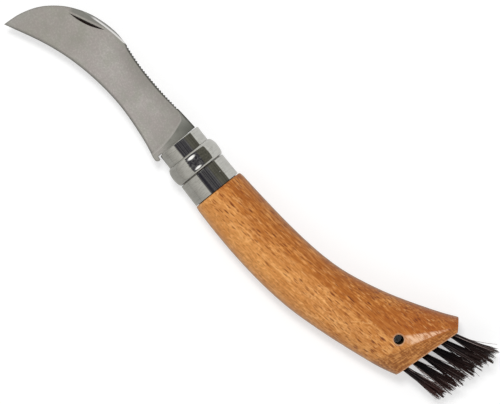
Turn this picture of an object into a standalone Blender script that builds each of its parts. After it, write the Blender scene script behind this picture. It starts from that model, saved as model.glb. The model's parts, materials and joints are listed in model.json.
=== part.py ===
"""Folding mushroom knife: hooked blade, turning lock ring, curved beech handle, bristle brush.

Metres, +Z up. The knife lies open on its side. The shapes are worked out in the knife's own frame:
+X runs down the collar from blade to butt, +Y points to the spine side, Z = 0 is the middle plane,
and the collar axis passes over the origin, level with the pivot. One empty carries that frame so
that the side of the handle rests on Z = 0.
"""

import math
import random

import bmesh
import bpy
from mathutils import Matrix, Quaternion, Vector

# Driving sizes of the blade
BLADE_REACH = 0.0762
BLADE_WIDTH = 0.0198
BLADE_THICK = 0.0017
SPINE_LAND = 0.0009
EDGE_BEVEL = 0.0009
EDGE_BEVEL_HALF = 0.00026
EDGE_HALF = 0.00003
PLUNGE_RUN = 0.0014
PLUNGE_BOW = 0.0013
HEEL_ROUND = 0.00125
HEEL_LAP = 0.0012
SERRATION_DEPTH = 0.00045
FACET_WIDTH = 0.0013
SERRATION_TEETH = 26
NICK_LENGTH = 0.0138
NICK_WIDTH = 0.0014
NICK_DEPTH = 0.00034

# The spine and the edge, from the collar's front to the tip: share of BLADE_REACH ahead of the
# collar's front, then share of BLADE_WIDTH above the collar axis
SPINE_SHARES = (
    (0.005, 0.420), (0.079, 0.401), (0.157, 0.376), (0.236, 0.350), (0.315, 0.338),
    (0.394, 0.334), (0.472, 0.352), (0.540, 0.378), (0.591, 0.380), (0.640, 0.361),
    (0.709, 0.295), (0.787, 0.172), (0.866, -0.035), (0.925, -0.278), (0.966, -0.540),
    (0.992, -0.870), (1.000, -1.215),
)
EDGE_SHARES = (
    (0.020, -0.572), (0.079, -0.522), (0.157, -0.484), (0.236, -0.457), (0.315, -0.446),
    (0.394, -0.459), (0.472, -0.491), (0.551, -0.541), (0.630, -0.610), (0.709, -0.700),
    (0.787, -0.814), (0.866, -0.953), (0.940, -1.098), (1.000, -1.215),
)
HEEL_SHARE = 0.576
SPINE_LOOK_SHARE = 0.01
SERRATION_SHARES = (0.10, 0.43)
GRIND_SHARES = (0.13, 0.985)
GRIND_ROWS = 7
TAPER_FROM_SHARE = 0.62
PLUNGE_SPINE_SHARE = 0.061
PLUNGE_EDGE_SHARE = 0.002
NICK_CENTRE_SHARES = (0.753, 0.062)
NICK_TILT = math.radians(26.0)
NICK_FLOOR_TILT = math.radians(17.0)
NICK_FACE_SHARE = 0.88
FACET_SHARES = (0.434, 0.664)
FACET_RUN_OUT_SHARE = 0.15
FACET_TILT = math.radians(27.0)

# The tang, its pivot and the fold
PIVOT_DROP = 0.0020
TAIL_SWELL = 0.0007
LOCK_GAP = 0.00045
SHOULDER_GAP = 0.00035
RIVET_RADIUS = 0.0015
RIVET_HEAD_RADIUS = 0.0022
RIVET_HEAD_DEPTH = 0.0007
RIVET_GAP = 0.0001
RIVET_INSET = 0.0001
FOLD_ANGLE = math.radians(178.0)

# The collar: a turning ring over a fixed ferrule
NECK_LENGTH = 0.0062
BEAD_LENGTH = 0.0076
SKIRT_LENGTH = 0.0093
NECK_RADIUS = 0.0092
BEAD_RADIUS = 0.01085
BEAD_REAR_RADIUS = 0.0098
SKIRT_FRONT_RADIUS = 0.0100
SKIRT_REAR_RADIUS = 0.01015
RING_WALL = 0.0008
FERRULE_WALL = 0.0008
TURN_GAP = 0.00025
SEAT_GAP = 0.0003
LIP_BITE = 0.0006
RING_SLOT = 0.0046
RING_SLOT_FLARE = 0.0014
FERRULE_SLOT = 0.0032

# The handle
HANDLE_LENGTH = 0.0981
HANDLE_RISE = 0.0270
GRIP_HALF_WIDTH = 0.0119
HANDLE_THICK = 0.0218
SLOT_SIDE_GAP = 0.00035
SLOT_CLEAR = 0.0006
SLOT_END_CLEAR = 0.0012
BUTT_TURN = math.radians(3.4)
BUTT_HALF_THICK = 0.0080
BUTT_BEVEL_RUN = 0.0054
BUTT_BEVEL_TURN = math.radians(17.0)
RIDGE_EASE_RUN = 0.0013
RIDGE_EASE_TURN = math.radians(14.0)
BUTT_TOP_REACH = 0.0104
TOP_CORNER_TURN = math.radians(45.0)
LANYARD_RADIUS = 0.00185
LANYARD_CHAMFER = 0.0004
LANYARD_INSET = 0.0113
LANYARD_DROP = 0.0086
REST_X = 0.0300

# Share of HANDLE_LENGTH, whose last row is past the butt face, then the middle as a share of
# HANDLE_RISE, the half width as a share of GRIP_HALF_WIDTH, the crown as a share of half of
# HANDLE_THICK, and the section's exponent
HANDLE_SHARES = (
    (0.000, 0.008, 0.866, 0.955, 2.00),
    (0.005, 0.010, 0.893, 0.980, 2.00),
    (0.020, 0.012, 0.912, 1.008, 2.00),
    (0.084, 0.017, 0.934, 1.020, 2.05),
    (0.176, 0.032, 0.960, 1.025, 2.15),
    (0.267, 0.055, 0.980, 1.025, 2.20),
    (0.359, 0.091, 0.996, 1.025, 2.25),
    (0.450, 0.142, 1.015, 1.025, 2.30),
    (0.542, 0.220, 1.043, 1.025, 2.30),
    (0.633, 0.333, 1.090, 1.025, 2.30),
    (0.725, 0.468, 1.158, 1.025, 2.30),
    (0.816, 0.624, 1.243, 1.025, 2.30),
    (0.908, 0.794, 1.344, 1.025, 2.30),
    (0.968, 0.925, 1.410, 1.025, 2.30),
    (1.020, 1.041, 1.440, 1.025, 2.30),
)

# The brush
TUFTS_IN_ROW = 6
TUFT_PITCH = 0.0044
TUFT_FIELD_DROP = 0.0026
TUFT_ROW_Z = 0.0023
TUFT_HOLE_RADIUS = 0.0016
TUFT_HOLE_DEPTH = 0.0065
TUFT_GAP = 0.0002
TUFT_PLUG_LENGTH = 0.0040
BRISTLE_REACH = 0.0180
BRISTLE_REACH_SPREAD = 0.0016
BRISTLE_RADIUS = 0.00019
BRISTLE_TIP_RADIUS = 0.00010
BRISTLES_IN_TUFT = 28
TUFT_MOUTH_RADIUS = 0.00110
TUFT_TIP_RADIUS = 0.00215
TUFT_LEAN = math.radians(21.0)
TUFT_FAN = math.radians(2.6)
TUFT_ROW_FAN = math.radians(2.5)
TUFT_TWIST = math.radians(37.0)
ANCHOR_THICK = 0.0004
ANCHOR_WIDTH = 0.0024
ANCHOR_HEIGHT = 0.0016

# How far a cutter runs past what it cuts, and how finely round pieces are made
OVERRUN = 0.0015
MERGE_DISTANCE = 0.000002
ROUND_STEPS = 48
SMALL_ROUND_STEPS = 32
BEAD_STEPS = 10
SPINE_STEPS = 44
EDGE_STEPS = 30
GRIND_STEPS = 19
WHEEL_STEPS = 240
FACET_STEPS = 18
SLOT_STEPS = 20
HOLE_STEPS = 16
SECTION_POINTS = 40

# Places that follow from the sizes above
RING_REAR = BEAD_LENGTH / 2
RING_FRONT = -(RING_REAR + NECK_LENGTH)
NECK_INNER = NECK_RADIUS - RING_WALL
BEAD_INNER = BEAD_RADIUS - RING_WALL
SEAT_RADIUS = NECK_INNER - TURN_GAP
FLANGE_RADIUS = BEAD_INNER - TURN_GAP
LIP_INNER = FLANGE_RADIUS - LIP_BITE
GROOVE_RADIUS = LIP_INNER - TURN_GAP
FLANGE_HALF = RING_REAR - RING_WALL - SEAT_GAP
FERRULE_FRONT = RING_FRONT + SEAT_GAP
SKIRT_FRONT = RING_REAR + SEAT_GAP
FERRULE_REAR = SKIRT_FRONT + SKIRT_LENGTH
SHOULDER_X = FERRULE_REAR + SEAT_GAP
BUTT_X = SHOULDER_X + HANDLE_LENGTH
BUTT_TOP = HANDLE_RISE + BUTT_TOP_REACH
LANYARD_X = BUTT_X - LANYARD_INSET
LANYARD_Y = HANDLE_RISE - LANYARD_DROP
TUFT_FIRST_Y = HANDLE_RISE - TUFT_FIELD_DROP - TUFT_PITCH * (TUFTS_IN_ROW - 1) / 2
HALF_THICK = HANDLE_THICK / 2
BLADE_HALF = BLADE_THICK / 2
PIVOT_Y = -PIVOT_DROP
BLADE_SHOULDER = RING_FRONT - SHOULDER_GAP
TANG_LOW = -(NECK_INNER - LOCK_GAP)
TAIL_RADIUS = PIVOT_Y - TANG_LOW + TAIL_SWELL
TANG_TOP = PIVOT_Y + TAIL_RADIUS

STEEL = ((0.62, 0.61, 0.59), 0.28, 1.0)
POLISHED_STEEL = ((0.74, 0.74, 0.73), 0.10, 1.0)
BEECH = ((0.60, 0.30, 0.11), 0.45, 0.0)
BOAR_HAIR = ((0.035, 0.022, 0.018), 0.55, 0.0)
ANCHOR_WIRE = ((0.55, 0.50, 0.40), 0.35, 1.0)


def clear_scene():
    for old in list(bpy.data.objects):
        bpy.data.objects.remove(old, do_unlink=True)


def new_collection(name):
    collection = bpy.data.collections.new(name)
    bpy.context.scene.collection.children.link(collection)
    return collection


def principled(name, finish):
    colour, roughness, metallic = finish
    material = bpy.data.materials.new(name)
    material.use_nodes = True
    shader = material.node_tree.nodes["Principled BSDF"]
    shader.inputs["Base Color"].default_value = (*colour, 1.0)
    shader.inputs["Roughness"].default_value = roughness
    shader.inputs["Metallic"].default_value = metallic
    return material


def add_object(name, mesh, collection, parent, material=None):
    obj = bpy.data.objects.new(name, mesh)
    collection.objects.link(obj)
    obj.parent = parent
    if material:
        mesh.materials.clear()
        mesh.materials.append(material)
    return obj


def add_cutter(name, mesh, collection, parent):
    cutter = add_object(name, mesh, collection, parent)
    cutter.hide_render = True
    cutter.display_type = "WIRE"
    return cutter


def cut(obj, cutter, operation="DIFFERENCE"):
    modifier = obj.modifiers.new(cutter.name, "BOOLEAN")
    modifier.operation = operation
    modifier.object = cutter
    modifier.solver = "EXACT"


def mesh_from(name, work):
    bmesh.ops.recalc_face_normals(work, faces=work.faces)
    mesh = bpy.data.meshes.new(name)
    work.to_mesh(mesh)
    work.free()
    return mesh


def smooth_by_angle(mesh, degrees=35.0):
    mesh.shade_smooth()
    mesh.set_sharp_from_angle(angle=math.radians(degrees))


def box_mesh(name, low, high):
    """A box between two corners."""
    work = bmesh.new()
    bmesh.ops.create_cube(work, size=1.0)
    low, high = Vector(low), Vector(high)
    for vertex in work.verts:
        vertex.co = Vector(a + (b - a) * (c + 0.5) for a, b, c in zip(low, high, vertex.co))
    return mesh_from(name, work)


def rod_mesh(name, radius, low, high, steps=SMALL_ROUND_STEPS):
    """A cylinder along Z from low to high."""
    work = bmesh.new()
    bmesh.ops.create_cone(
        work, cap_ends=True, segments=steps, radius1=radius, radius2=radius, depth=high - low
    )
    bmesh.ops.translate(work, verts=work.verts, vec=(0, 0, (low + high) / 2))
    return mesh_from(name, work)


def turned_mesh(name, profile, steps, along="X"):
    """A closed profile of (place along the axis, radius) turned about that axis."""
    work = bmesh.new()
    ring = []
    for along_axis, radius in profile:
        place = (along_axis, 0, radius) if along == "X" else (radius, 0, along_axis)
        ring.append(work.verts.new(place))
    closed = all(radius > 0 for _, radius in profile)
    ends = ring[1:] + ring[:1] if closed else ring[1:]
    for one, other in zip(ring, ends):
        work.edges.new((one, other))
    mesh = bpy.data.meshes.new(name)
    work.to_mesh(mesh)
    work.free()
    helper = bpy.data.objects.new(name, mesh)
    bpy.context.scene.collection.objects.link(helper)
    screw = helper.modifiers.new("turn", "SCREW")
    screw.axis = along
    screw.steps = steps
    screw.render_steps = steps
    screw.use_merge_vertices = True
    screw.merge_threshold = MERGE_DISTANCE
    graph = bpy.context.evaluated_depsgraph_get()
    turned = bpy.data.meshes.new_from_object(helper.evaluated_get(graph))
    bpy.data.objects.remove(helper, do_unlink=True)
    work = bmesh.new()
    work.from_mesh(turned)
    mesh = mesh_from(name, work)
    smooth_by_angle(mesh)
    return mesh


def plate_mesh(name, outline, half_thick):
    """A flat outline in the XY plane, filled and given its thickness as a 2D curve."""
    curve = bpy.data.curves.new(name, "CURVE")
    curve.dimensions = "2D"
    curve.fill_mode = "BOTH"
    curve.extrude = half_thick
    spline = curve.splines.new("POLY")
    spline.points.add(len(outline) - 1)
    for point, (x, y) in zip(spline.points, outline):
        point.co = (x, y, 0, 1)
    spline.use_cyclic_u = True
    helper = bpy.data.objects.new(name, curve)
    bpy.context.scene.collection.objects.link(helper)
    graph = bpy.context.evaluated_depsgraph_get()
    mesh = bpy.data.meshes.new_from_object(helper.evaluated_get(graph))
    bpy.data.objects.remove(helper, do_unlink=True)
    work = bmesh.new()
    work.from_mesh(mesh)
    bmesh.ops.remove_doubles(work, verts=work.verts, dist=MERGE_DISTANCE)
    return mesh_from(name, work)


def loft_mesh(name, sections):
    """A closed skin over sections that all have as many points, with both ends capped."""
    work = bmesh.new()
    rings = [[work.verts.new(point) for point in section] for section in sections]
    for near, far in zip(rings, rings[1:]):
        for i in range(len(near)):
            j = (i + 1) % len(near)
            work.faces.new((near[i], near[j], far[j], far[i]))
    work.faces.new(rings[0])
    work.faces.new(rings[-1])
    return mesh_from(name, work)


def spline_through(points, samples_per_span=8):
    """Points along a smooth Catmull-Rom curve through all the given points."""
    ends = [2 * points[0] - points[1], *points, 2 * points[-1] - points[-2]]
    line = []
    for before, start, end, after in zip(ends, ends[1:], ends[2:], ends[3:]):
        for i in range(samples_per_span):
            t = i / samples_per_span
            line.append(
                0.5
                * (
                    2 * start
                    + (end - before) * t
                    + (2 * before - 5 * start + 4 * end - after) * t**2
                    + (3 * start - before - 3 * end + after) * t**3
                )
            )
    return [*line, points[-1]]


def point_along(line, share):
    """The point at a share of a line's length."""
    steps = [(b - a).length for a, b in zip(line, line[1:])]
    left = max(0.0, min(1.0, share)) * sum(steps)
    for a, b, step in zip(line, line[1:], steps):
        if left <= step:
            return a.lerp(b, left / step)
        left -= step
    return line[-1].copy()


def blade_line(shares):
    """A blade line in the knife's frame, from its shares."""
    points = [
        Vector((RING_FRONT - along * BLADE_REACH, across * BLADE_WIDTH, 0))
        for along, across in shares
    ]
    return spline_through(points)


SPINE = blade_line(SPINE_SHARES)
EDGE = blade_line(EDGE_SHARES)


def arc(centre, radius, start, end, steps):
    """Points on an arc in the XY plane, both ends included."""
    angles = [start + (end - start) * i / steps for i in range(steps + 1)]
    return [(centre[0] + radius * math.cos(a), centre[1] + radius * math.sin(a)) for a in angles]


def inward_from_spine(share):
    """The direction that leads square off the spine into the blade."""
    ahead = point_along(SPINE, share + SPINE_LOOK_SHARE) - point_along(SPINE, share)
    across = Vector((-ahead.y, ahead.x, 0)).normalized()
    return across if across.y < 0 else -across


def serrated_spine():
    """The spine from the collar to the tip, with the cleaning teeth filed into it."""
    first, last = SERRATION_SHARES
    points = [point_along(SPINE, first * i / 4) for i in range(4)]
    for i in range(2 * SERRATION_TEETH + 1):
        share = first + (last - first) * i / (2 * SERRATION_TEETH)
        point = point_along(SPINE, share)
        if i % 2:
            point = point + inward_from_spine(share) * SERRATION_DEPTH
        points.append(point)
    for i in range(1, SPINE_STEPS + 1):
        points.append(point_along(SPINE, last + (1 - last) * i / SPINE_STEPS))
    return [(p.x, p.y) for p in points]


def blade_outline():
    """The stamped blank: spine, tip, edge, heel, tang and round tail."""
    heel_low = -HEEL_SHARE * BLADE_WIDTH
    heel_centre = (RING_FRONT + HEEL_LAP - HEEL_ROUND, heel_low + HEEL_ROUND)
    heel_top = -(NECK_RADIUS + SHOULDER_GAP)
    heel_turn = math.atan2(heel_top - heel_centre[1], HEEL_ROUND)
    edge = [point_along(EDGE, 1 - i / EDGE_STEPS) for i in range(1, EDGE_STEPS + 1)]
    tail_start = math.pi + math.asin((PIVOT_Y - TANG_LOW) / TAIL_RADIUS)
    return [
        (BLADE_SHOULDER, SPINE[0].y),
        *serrated_spine(),
        *[(p.x, p.y) for p in edge],
        *arc(heel_centre, HEEL_ROUND, -math.pi / 2, heel_turn, 8),
        (BLADE_SHOULDER, heel_top),
        (BLADE_SHOULDER, TANG_LOW),
        *arc((0, PIVOT_Y), TAIL_RADIUS, tail_start, 2.5 * math.pi, 20),
        (BLADE_SHOULDER, TANG_TOP),
    ]


def grind_section(spine_point, edge_point, bow, lift):
    """One section of the grinding cutter: the ground face from spine to edge, then the bevel."""
    across = edge_point - spine_point
    width = across.length
    across.normalize()
    forward = Vector((across.y, -across.x, 0))
    if forward.x < 0:
        forward.negate()
    narrow = min(1.0, width / (4 * (SPINE_LAND + EDGE_BEVEL)))
    land, bevel = SPINE_LAND * narrow, EDGE_BEVEL * narrow
    bevel_half = EDGE_HALF + (EDGE_BEVEL_HALF - EDGE_HALF) * narrow
    face = width - land - bevel
    slope = (BLADE_HALF - bevel_half) / max(face, TAPER_FROM_SHARE * BLADE_WIDTH)
    rows = [(-OVERRUN, bevel_half + slope * (face + land + OVERRUN))]
    for i in range(GRIND_ROWS + 1):
        share = i / GRIND_ROWS
        rows.append((land + face * share, bevel_half + slope * face * (1 - share)))
    rows.append((width, EDGE_HALF))
    rows.append((width + OVERRUN, EDGE_HALF - OVERRUN * (bevel_half - EDGE_HALF) / bevel))
    under = []
    for distance, height in rows:
        share = max(0.0, min(1.0, distance / width))
        place = spine_point + across * distance + forward * bow * 4 * share * (1 - share)
        height = BLADE_HALF + OVERRUN / 10 if lift else height
        under.append(Vector((place.x, place.y, height)))
    over = [Vector((p.x, p.y, BLADE_HALF + OVERRUN)) for p in reversed(under)]
    return under + over


def grind_sections():
    """Sections of the grinding cutter from the plunge by the tang to beyond the tip."""
    first, last = GRIND_SHARES
    spine_run = PLUNGE_RUN / BLADE_REACH
    start = (point_along(SPINE, PLUNGE_SPINE_SHARE), point_along(EDGE, PLUNGE_EDGE_SHARE))
    ground = (
        point_along(SPINE, PLUNGE_SPINE_SHARE + spine_run),
        point_along(EDGE, PLUNGE_EDGE_SHARE + spine_run),
    )
    sections = [
        grind_section(*start, PLUNGE_BOW, True),
        grind_section(*ground, PLUNGE_BOW, False),
    ]
    for i in range(GRIND_STEPS + 1):
        share = first + (last - first) * i / GRIND_STEPS
        sections.append(
            grind_section(point_along(SPINE, share), point_along(EDGE, share), 0.0, False)
        )
    run_out = 2 * SPINE[-1] - point_along(SPINE, last) - point_along(EDGE, last)
    run_out = run_out.normalized() * OVERRUN
    sections.append([p + run_out for p in sections[-1]])
    return sections


def nick_cutter():
    """A large thin wheel, tilted so that it leaves a crescent with its steep wall by the spine."""
    radius = (NICK_LENGTH**2 / 4 + NICK_DEPTH**2) / (2 * NICK_DEPTH)
    along, across = NICK_CENTRE_SHARES
    work = bmesh.new()
    bmesh.ops.create_cone(
        work, cap_ends=True, segments=WHEEL_STEPS, radius1=radius, radius2=radius, depth=2 * NICK_WIDTH
    )
    bmesh.ops.translate(work, verts=work.verts, vec=(0, 0, NICK_WIDTH))
    mesh = mesh_from("nick_wheel", work)
    return mesh, radius, (RING_FRONT - along * BLADE_REACH, across * BLADE_WIDTH)


def facet_section(share, width):
    """One section of the wedge that leaves a slanted facet of the given width along the spine."""
    slope = math.tan(FACET_TILT)
    spine = point_along(SPINE, share)
    inward = inward_from_spine(share)
    above = BLADE_HALF + OVERRUN
    rows = (
        (-OVERRUN, BLADE_HALF - (width + OVERRUN) * slope),
        (width + OVERRUN / slope, above),
        (-OVERRUN, above),
    )
    return [spine + inward * distance + Vector((0, 0, height)) for distance, height in rows]


def add_facets(blade, cutters, frame):
    """A slanted facet follows the spine's hump on each face and runs out at both of its ends."""
    first, last = FACET_SHARES
    sections = []
    for i in range(FACET_STEPS + 1):
        share = i / FACET_STEPS
        arch = math.sqrt(1 - (2 * share - 1) ** 2)
        swell = arch * (1 + FACET_RUN_OUT_SHARE) - FACET_RUN_OUT_SHARE
        sections.append(facet_section(first + (last - first) * share, FACET_WIDTH * swell))
    for side, name in ((1, "upper_facet"), (-1, "lower_facet")):
        turned = [[Vector((p.x, p.y, p.z * side)) for p in section] for section in sections]
        cut(blade, add_cutter(name, loft_mesh(name, turned), cutters, frame))


def make_blade(parts, cutters, frame):
    """The blade blank, ground on both faces, with its nail nick and pivot hole."""
    outline = blade_outline()
    blank = plate_mesh("blade", [(x, y - PIVOT_Y) for x, y in outline], BLADE_HALF)
    blade = add_object("blade", blank, parts, frame, principled("blade_steel", STEEL))
    blade.location = (0, PIVOT_Y, 0)
    sections = grind_sections()
    for side, name in ((1, "grind_upper"), (-1, "grind_lower")):
        turned = [[Vector((p.x, p.y, p.z * side)) for p in section] for section in sections]
        cut(blade, add_cutter(name, loft_mesh(name, turned), cutters, frame))
    mesh, radius, (x, y) = nick_cutter()
    nick = add_cutter("nick_wheel", mesh, cutters, frame)
    chord = Vector((math.cos(NICK_TILT), math.sin(NICK_TILT), 0))
    spineward = Vector((-chord.y, chord.x, 0))
    axle = -spineward * math.cos(NICK_FLOOR_TILT) + Vector((0, 0, math.sin(NICK_FLOOR_TILT)))
    rise = chord.cross(axle)
    if rise.z < 0:
        rise.negate()
    nick.rotation_mode = "QUATERNION"
    nick.rotation_quaternion = axle.to_track_quat("Z", "X")
    surface = BLADE_HALF * NICK_FACE_SHARE
    nick.location = Vector((x, y, surface)) + rise * (radius - NICK_DEPTH)
    cut(blade, nick)
    add_facets(blade, cutters, frame)
    hole = rod_mesh("pivot_bore", RIVET_RADIUS + RIVET_GAP, -OVERRUN, OVERRUN)
    bore = add_cutter("pivot_bore", hole, cutters, frame)
    bore.location = (0, PIVOT_Y, 0)
    cut(blade, bore)
    return blade


def bead_arc():
    """The outside of the bead: two quarters of ellipses, from the neck over to the rear lip."""
    points = []
    for i in range(BEAD_STEPS + 1):
        turn = math.pi * i / BEAD_STEPS
        base = NECK_RADIUS if i < BEAD_STEPS / 2 else BEAD_REAR_RADIUS
        points.append((-RING_REAR * math.cos(turn), base + (BEAD_RADIUS - base) * math.sin(turn)))
    return points


def ring_profile():
    """The turning ring's wall: a straight neck, a round bead and a lip turned in behind it."""
    wall = RING_WALL
    edge_round = wall / 3
    haunch = BEAD_INNER - wall / 2
    return [
        (RING_FRONT, NECK_RADIUS - edge_round),
        (RING_FRONT + edge_round, NECK_RADIUS),
        *bead_arc(),
        (RING_REAR, LIP_INNER),
        (RING_REAR - wall, LIP_INNER),
        (RING_REAR - wall, haunch),
        (RING_REAR - 2 * wall, BEAD_INNER),
        (-RING_REAR + 2 * wall, BEAD_INNER),
        (-RING_REAR + wall, haunch),
        (-RING_REAR + wall, NECK_INNER),
        (RING_FRONT, NECK_INNER),
    ]


def ferrule_profile():
    """The fixed ferrule's wall: neck, flange that holds the ring, groove, skirt over the wood."""
    wall = FERRULE_WALL
    haunch = FLANGE_RADIUS - RING_WALL / 2
    return [
        (FERRULE_FRONT, SEAT_RADIUS),
        (-FLANGE_HALF, SEAT_RADIUS),
        (-FLANGE_HALF, haunch),
        (-FLANGE_HALF + RING_WALL, FLANGE_RADIUS),
        (FLANGE_HALF - RING_WALL, FLANGE_RADIUS),
        (FLANGE_HALF, haunch),
        (FLANGE_HALF, GROOVE_RADIUS),
        (SKIRT_FRONT, GROOVE_RADIUS),
        (SKIRT_FRONT, SKIRT_FRONT_RADIUS - wall / 4),
        (SKIRT_FRONT + wall / 4, SKIRT_FRONT_RADIUS),
        (FERRULE_REAR, SKIRT_REAR_RADIUS),
        (FERRULE_REAR, SKIRT_FRONT_RADIUS - wall),
        (SKIRT_FRONT + wall, SKIRT_FRONT_RADIUS - wall),
        (SKIRT_FRONT + wall, GROOVE_RADIUS - wall),
        (FLANGE_HALF - wall, GROOVE_RADIUS - wall),
        (FLANGE_HALF - wall, FLANGE_RADIUS - wall),
        (-FLANGE_HALF + wall, FLANGE_RADIUS - wall),
        (-FLANGE_HALF + wall, SEAT_RADIUS - wall),
        (FERRULE_FRONT, SEAT_RADIUS - wall),
    ]


def make_ring(parts, cutters, frame, steel):
    """The turning ring, split by a slot whose locking side flares at the front."""
    mesh = turned_mesh("locking_ring", ring_profile(), ROUND_STEPS)
    ring = add_object("locking_ring", mesh, parts, frame, steel)
    half = RING_SLOT / 2
    outline = [
        (RING_REAR + OVERRUN, half),
        (-RING_REAR, half),
        (RING_FRONT - OVERRUN, half + RING_SLOT_FLARE),
        (RING_FRONT - OVERRUN, -half),
        (RING_REAR + OVERRUN, -half),
    ]
    depth = (BEAD_RADIUS + OVERRUN) / 2
    slot = add_cutter("ring_slot", plate_mesh("ring_slot", outline, depth), cutters, frame)
    slot.rotation_euler = (math.pi / 2, 0, 0)
    slot.location = (0, -depth, 0)
    cut(ring, slot)
    return ring


def make_ferrule(parts, cutters, frame, steel):
    """The fixed ferrule, slotted for the blade and countersunk for the rivet."""
    mesh = turned_mesh("fixed_ferrule", ferrule_profile(), ROUND_STEPS)
    ferrule = add_object("fixed_ferrule", mesh, parts, frame, steel)
    half = FERRULE_SLOT / 2
    low = (FERRULE_FRONT - OVERRUN, -SKIRT_REAR_RADIUS - OVERRUN, -half)
    high = (FERRULE_REAR + OVERRUN, 0, half)
    cut(ferrule, add_cutter("ferrule_slot", box_mesh("ferrule_slot", low, high), cutters, frame))
    seat = turned_mesh("rivet_seat", rivet_profile(RIVET_GAP), SMALL_ROUND_STEPS, "Z")
    seat_cutter = add_cutter("rivet_seat", seat, cutters, frame)
    seat_cutter.location = (0, PIVOT_Y, 0)
    cut(ferrule, seat_cutter)
    return ferrule


def rivet_profile(grow=0.0):
    """Half of the rivet's section: shank, countersunk heads, and a reach past the ferrule."""
    reach = FLANGE_RADIUS + OVERRUN
    head_start = math.sqrt(FLANGE_RADIUS**2 - PIVOT_Y**2) - RIVET_HEAD_DEPTH
    shank, head = RIVET_RADIUS + grow, RIVET_HEAD_RADIUS + grow
    head_end = head_start + RIVET_HEAD_DEPTH
    return [
        (reach, 0),
        (reach, head),
        (head_end, head),
        (head_start, shank),
        (-head_start, shank),
        (-head_end, head),
        (-reach, head),
        (-reach, 0),
    ]


def make_rivet(parts, cutters, frame, steel):
    """The pivot rivet, its heads ground flush so that the ring can turn over them."""
    mesh = turned_mesh("pivot_rivet", rivet_profile(), SMALL_ROUND_STEPS, "Z")
    rivet = add_object("pivot_rivet", mesh, parts, frame, steel)
    rivet.location = (0, PIVOT_Y, 0)
    radius = FLANGE_RADIUS - RIVET_INSET
    drum = rod_mesh("rivet_flush", radius, -BEAD_LENGTH, BEAD_LENGTH, ROUND_STEPS)
    flush = add_cutter("rivet_flush", drum, cutters, frame)
    flush.rotation_euler = (0, math.pi / 2, 0)
    cut(rivet, flush, "INTERSECT")
    return rivet


def handle_section(x, middle, half_width, crown, exponent):
    """A rounded section of the handle, with the flats that the plank's faces leave."""
    points = []
    for i in range(SECTION_POINTS):
        angle = 2 * math.pi * i / SECTION_POINTS
        across, up = math.cos(angle), math.sin(angle)
        y = middle + math.copysign(abs(across) ** (2 / exponent), across) * half_width
        z = math.copysign(abs(up) ** (2 / exponent), up) * crown
        points.append(Vector((x, y, max(-HALF_THICK, min(HALF_THICK, z)))))
    return points


def round_section(x, radius):
    return handle_section(x, 0.0, radius, radius, 2.0)


def smooth_rows(rows):
    """The handle's table filled in with a smooth curve through its rows."""
    lines = []
    for column in (1, 2, 3, 4):
        line = spline_through([Vector((row[0], row[column], 0)) for row in rows[2:]], 3)
        lines.append(line)
    filled = [
        (one.x, one.y, two.y, three.y, four.y) for one, two, three, four in zip(*lines)
    ]
    return [*rows[:2], *filled]


def handle_blank():
    """The stepped spigot under the ferrule, then the curved grip, in one skin."""
    neck = SEAT_RADIUS - FERRULE_WALL - SEAT_GAP
    body = GROOVE_RADIUS - FERRULE_WALL - SEAT_GAP
    skirt = SKIRT_FRONT_RADIUS - FERRULE_WALL - SEAT_GAP
    neck_end = -FLANGE_HALF + FERRULE_WALL + SEAT_GAP
    skirt_start = SKIRT_FRONT + FERRULE_WALL + SEAT_GAP
    sections = [
        round_section(FERRULE_FRONT + SEAT_GAP, neck),
        round_section(neck_end, neck),
        round_section(neck_end, body),
        round_section(skirt_start, body),
        round_section(skirt_start, skirt),
        round_section(SHOULDER_X, skirt),
    ]
    for share, middle, width, crown, exponent in smooth_rows(HANDLE_SHARES):
        sections.append(
            handle_section(
                SHOULDER_X + share * HANDLE_LENGTH,
                middle * HANDLE_RISE,
                width * GRIP_HALF_WIDTH,
                crown * HALF_THICK,
                exponent,
            )
        )
    return loft_mesh("handle", sections)


def closed_place(point):
    """Where a point of the open blade goes when the blade is folded into the handle."""
    x, y = point[0], point[1] - PIVOT_Y
    c, s = math.cos(FOLD_ANGLE), math.sin(FOLD_ANGLE)
    return (c * x - s * y, s * x + c * y + PIVOT_Y)


def slot_outline():
    """The saw slot: its floor follows the folded edge, and its end follows the tip's swing."""
    heel_floor = closed_place((RING_FRONT, -HEEL_SHARE * BLADE_WIDTH))[1] + SLOT_CLEAR
    step_x = -(RING_FRONT + HEEL_LAP) - SLOT_CLEAR
    tang_floor = TANG_TOP + SLOT_SIDE_GAP
    floor = [
        (FERRULE_FRONT - OVERRUN, tang_floor),
        (step_x - HEEL_ROUND, tang_floor),
        (step_x, heel_floor),
        (SHOULDER_X, heel_floor),
    ]
    for i in range(SLOT_STEPS + 1):
        edge = point_along(EDGE, i / SLOT_STEPS)
        x, y = closed_place(edge)
        if x > SHOULDER_X + HEEL_ROUND:
            floor.append((x, y + SLOT_CLEAR))
    tip = closed_place(SPINE[-1])
    reach = math.hypot(tip[0], tip[1] - PIVOT_Y) + SLOT_END_CLEAR
    tip_angle = math.atan2(tip[1] + SLOT_CLEAR - PIVOT_Y, tip[0])
    low = -GRIP_HALF_WIDTH - HANDLE_RISE
    end = arc((0, PIVOT_Y), reach, tip_angle, -tip_angle, 10)
    return [*floor, *end, (end[-1][0], low), (FERRULE_FRONT - OVERRUN, low)]


def butt_x(y):
    """Where the slightly turned butt face is, at a place across the handle."""
    return BUTT_X + (y - HANDLE_RISE) * math.tan(BUTT_TURN)


def tuft_places():
    """Butt point, lean in the side plane and tilt out of it, for each tuft of the brush."""
    for row in (1, -1):
        for i in range(TUFTS_IN_ROW):
            y = TUFT_FIRST_Y + TUFT_PITCH * i
            lean = TUFT_LEAN + TUFT_FAN * (i - (TUFTS_IN_ROW - 1) / 2)
            yield Vector((butt_x(y), y, row * TUFT_ROW_Z)), lean, row * TUFT_ROW_FAN


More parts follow.
